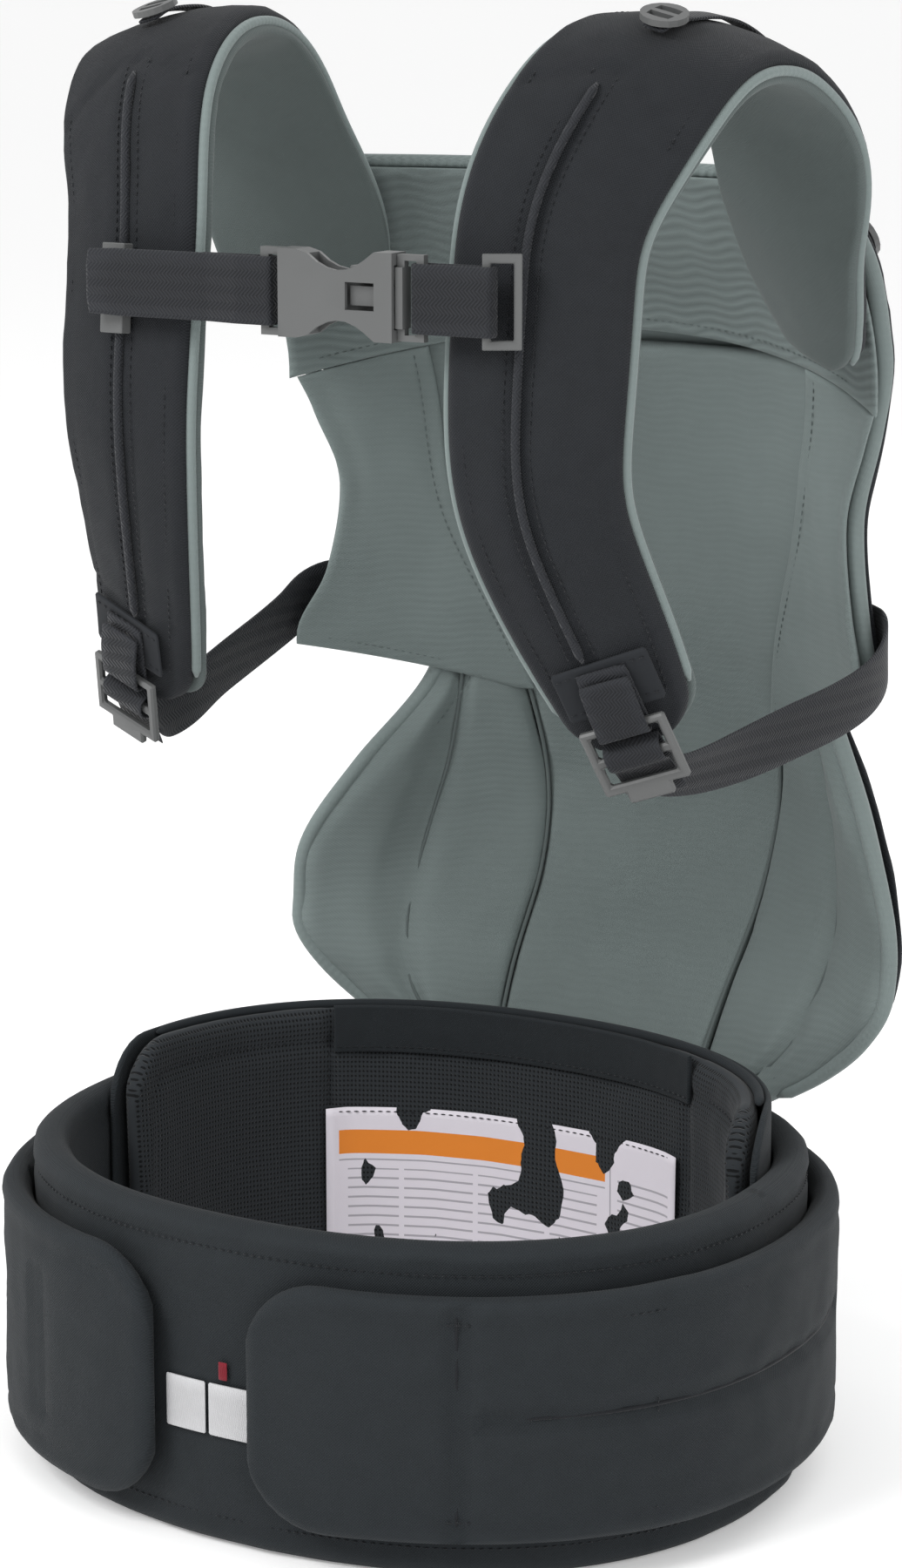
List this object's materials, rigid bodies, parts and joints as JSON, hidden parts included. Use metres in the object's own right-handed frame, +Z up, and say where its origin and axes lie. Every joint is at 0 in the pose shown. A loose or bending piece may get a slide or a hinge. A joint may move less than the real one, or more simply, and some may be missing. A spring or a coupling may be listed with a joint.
{
  "type": "soft baby carrier",
  "caption": "Soft baby carrier with a padded waist belt, ribbed body panel, padded shoulder straps and a clip chest strap.",
  "frame": {"origin": "centre of the footprint on the floor, under the waist belt", "axes": "+Z up from the belt to the shoulder straps; +Y towards the body panel's outer face; -Y towards the belt's closure; +X towards the right-hand shoulder strap"},
  "size_m": [0.3338, 0.3782, 0.5695],
  "materials": {
    "grey_plastic": "moulded plastic, fine grain",
    "stiff_sheet": "stiff plastic sheet",
    "belt_cloth": "plain woven cloth, dark slate",
    "spacer_mesh": "dark spacer mesh",
    "strap_cloth": "plain woven cloth, charcoal",
    "grey_lining": "soft ribbed mesh lining, grey",
    "webbing": "tight-woven strap webbing",
    "foam": "soft padding, hidden",
    "white_tape": "white woven tape",
    "label_cloth": "printed satin label, plain",
    "red_tape": "dark red woven tape",
    "hook_tape": "hook and loop tape, black"
  },
  "bodies": {
    "belt": {"inner_band": "belt_cloth", "back_pad": "spacer_mesh", "back_pad_shell": "belt_cloth", "lumbar_stiffener": "stiff_sheet", "hem_band": "belt_cloth", "care_label": "label_cloth", "loop_field_left": "hook_tape", "loop_field_right": "hook_tape", "wing_base_left": "belt_cloth", "wing_base_right": "belt_cloth", "tab_left": "white_tape", "tab_right": "white_tape", "size_tag": "red_tape"},
    "wing_left": {"wing_left": "belt_cloth", "hook_patch_left": "hook_tape"},
    "wing_right": {"wing_right": "belt_cloth", "hook_patch_right": "hook_tape"},
    "panel": {"centre_panel": "grey_lining", "head_panel": "grey_lining", "panel_side_left": "grey_lining", "panel_side_right": "grey_lining", "panel_foam": "foam", "seat_foam": "foam", "panel_outer": "strap_cloth", "seat_outer": "strap_cloth", "seat_wing_left": "grey_lining", "seat_wing_right": "grey_lining", "strap_lining_left": "grey_lining", "strap_foam_left": "foam", "strap_cover_left": "strap_cloth", "strap_rail_left": "webbing", "end_patch_left": "strap_cloth", "adjuster_loop_left": "webbing", "lifter_web_left": "webbing", "adjuster_web_left": "webbing", "side_web_left": "webbing", "strap_lining_right": "grey_lining", "strap_foam_right": "foam", "strap_cover_right": "strap_cloth", "strap_rail_right": "webbing", "end_patch_right": "strap_cloth", "adjuster_loop_right": "webbing", "lifter_web_right": "webbing", "adjuster_web_right": "webbing", "side_web_right": "webbing"},
    "lock_left": {"ladder_lock_left": "grey_plastic"},
    "lock_right": {"ladder_lock_right": "grey_plastic"},
    "lifter_disc_left": {"lifter_disc_left": "grey_plastic"},
    "lifter_disc_right": {"lifter_disc_right": "grey_plastic"},
    "side_disc_left": {"side_disc_left": "grey_plastic"},
    "side_disc_right": {"side_disc_right": "grey_plastic"},
    "chest_left": {"chest_slider_left": "grey_plastic", "chest_web_left": "webbing", "buckle_female": "grey_plastic"},
    "chest_ring": {"chest_ring_right": "grey_plastic"},
    "chest_male": {"buckle_male": "grey_plastic", "chest_web_right": "webbing"},
    "prong_upper": {"prong_upper": "grey_plastic"},
    "prong_lower": {"prong_lower": "grey_plastic"}
  },
  "joints": [
    {"name": "wing_fold_left", "type": "hinge", "parent": "belt", "child": "wing_left", "pos_m": [-0.15504, -0.10396, 0.06175], "axis": [0, 0, -1], "range_deg": [0, 60]},
    {"name": "wing_fold_right", "type": "hinge", "parent": "belt", "child": "wing_right", "pos_m": [0.15504, -0.10396, 0.0645], "axis": [0, 0, 1], "range_deg": [0, 60]},
    {"name": "panel_fold", "type": "hinge", "parent": "belt", "child": "panel", "pos_m": [0, 0.10065, 0.112], "axis": [-1, 0, 0], "range_deg": [0, 80]},
    {"name": "chest_slide_left", "type": "slide", "parent": "panel", "child": "chest_left", "axis": [0, 0.1191, 0.9929], "range_m": [-0.02, 0.01]},
    {"name": "chest_slide_right", "type": "slide", "parent": "panel", "child": "chest_ring", "axis": [0, 0.1191, 0.9929], "range_m": [-0.02, 0.01]},
    {"name": "buckle_release", "type": "slide", "parent": "chest_ring", "child": "chest_male", "axis": [1, 0, 0], "range_m": [0, 0.022]},
    {"name": "prong_bend_upper", "type": "hinge", "parent": "chest_male", "child": "prong_upper", "pos_m": [0.0412, -0.12615, 0.47555], "axis": [0, -1, 0], "range_deg": [0, 5], "stiffness_Nm_per_rad": 0.02},
    {"name": "prong_bend_lower", "type": "hinge", "parent": "chest_male", "child": "prong_lower", "pos_m": [0.0412, -0.12615, 0.45845], "axis": [0, 1, 0], "range_deg": [0, 5], "stiffness_Nm_per_rad": 0.02},
    {"name": "lock_tilt_left", "type": "hinge", "parent": "panel", "child": "lock_left", "pos_m": [-0.11006, -0.08222, 0.30991], "axis": [-0.9288, 0.1879, 0.3194], "range_deg": [0, 30]},
    {"name": "lifter_disc_tilt_left", "type": "hinge", "parent": "panel", "child": "lifter_disc_left", "pos_m": [-0.11113, -0.04544, 0.56646], "axis": [-0.9697, -0.0858, -0.2288], "range_deg": [0, 30]},
    {"name": "side_disc_tilt_left", "type": "hinge", "parent": "panel", "child": "side_disc_left", "pos_m": [-0.12169, 0.08609, 0.48465], "axis": [0.851, 0.5251, 0], "range_deg": [0, 30]},
    {"name": "lock_tilt_right", "type": "hinge", "parent": "panel", "child": "lock_right", "pos_m": [0.11006, -0.08222, 0.30991], "axis": [-0.9288, -0.1879, -0.3194], "range_deg": [0, 30]},
    {"name": "lifter_disc_tilt_right", "type": "hinge", "parent": "panel", "child": "lifter_disc_right", "pos_m": [0.11113, -0.04544, 0.56646], "axis": [-0.9697, 0.0858, 0.2288], "range_deg": [0, 30]},
    {"name": "side_disc_tilt_right", "type": "hinge", "parent": "panel", "child": "side_disc_right", "pos_m": [0.12169, 0.08609, 0.48465], "axis": [0.851, -0.5251, 0], "range_deg": [0, 30]}
  ],
  "couplings": [
    {"joint": "chest_slide_right", "follows": "chest_slide_left", "ratio": 1},
    {"joint": "prong_bend_lower", "follows": "prong_bend_upper", "ratio": 1}
  ]
}
